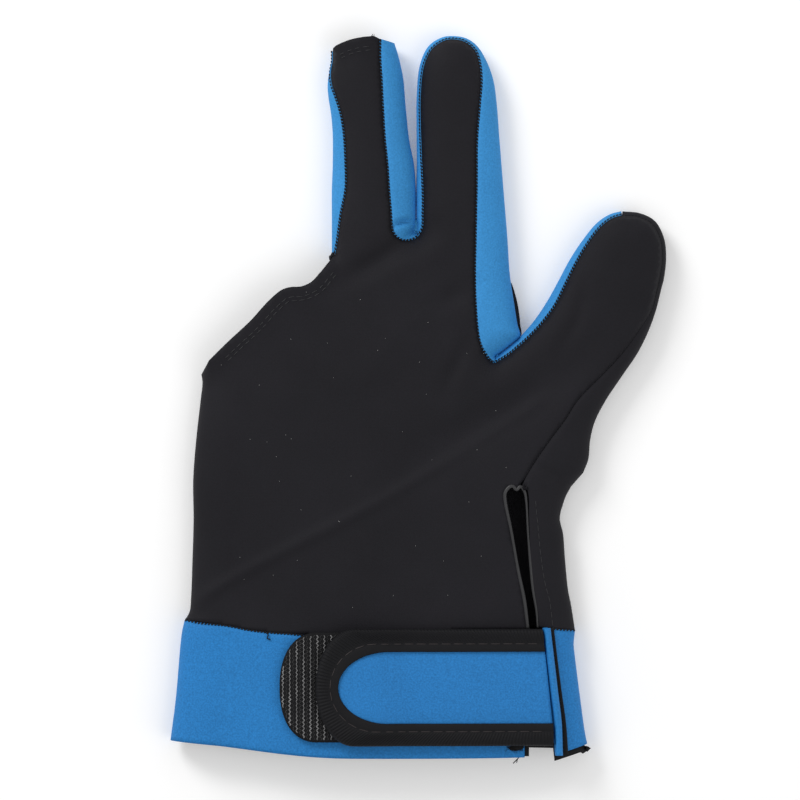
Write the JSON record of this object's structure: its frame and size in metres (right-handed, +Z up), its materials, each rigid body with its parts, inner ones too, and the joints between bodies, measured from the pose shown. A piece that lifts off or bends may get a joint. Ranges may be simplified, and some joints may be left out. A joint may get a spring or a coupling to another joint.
{
  "type": "billiard glove",
  "caption": "Three-finger billiard glove for the left hand: stretch fabric with an open middle fingertip, an open side and a neoprene wrist cuff closed by a strap.",
  "frame": {"origin": "bottom centre of the glove's box, on the surface that the palm lies on", "axes": "+X to the thumb's side, +Y to the fingertips, +Z up, out of the back of the hand"},
  "size_m": [0.149, 0.2168, 0.0185],
  "materials": {
    "back_panel": "black knitted stretch fabric, matt",
    "palm_panel": "black knitted stretch fabric, matt",
    "gusset_middle_outer": "blue stretch fabric, matt",
    "gusset_fingers": "blue stretch fabric, matt",
    "gusset_thumb": "blue stretch fabric, matt",
    "slit_binding": "black satin tape, low sheen",
    "cuff": "blue neoprene with a black backing",
    "cuff_fold": "blue neoprene",
    "hook_tab": "knitted hook fabric, black with grey zigzags",
    "strap": "blue neoprene",
    "strap_binding": "black ribbed binding tape"
  },
  "bodies": {
    "root": {"back_panel": "back_panel", "palm_panel": "palm_panel", "gusset_middle_outer": "gusset_middle_outer", "gusset_fingers": "gusset_fingers", "gusset_thumb": "gusset_thumb", "slit_binding": "slit_binding", "cuff": "cuff", "cuff_fold": "cuff_fold", "hook_tab": "hook_tab", "strap": "strap", "strap_binding": "strap_binding"}
  },
  "joints": []
}
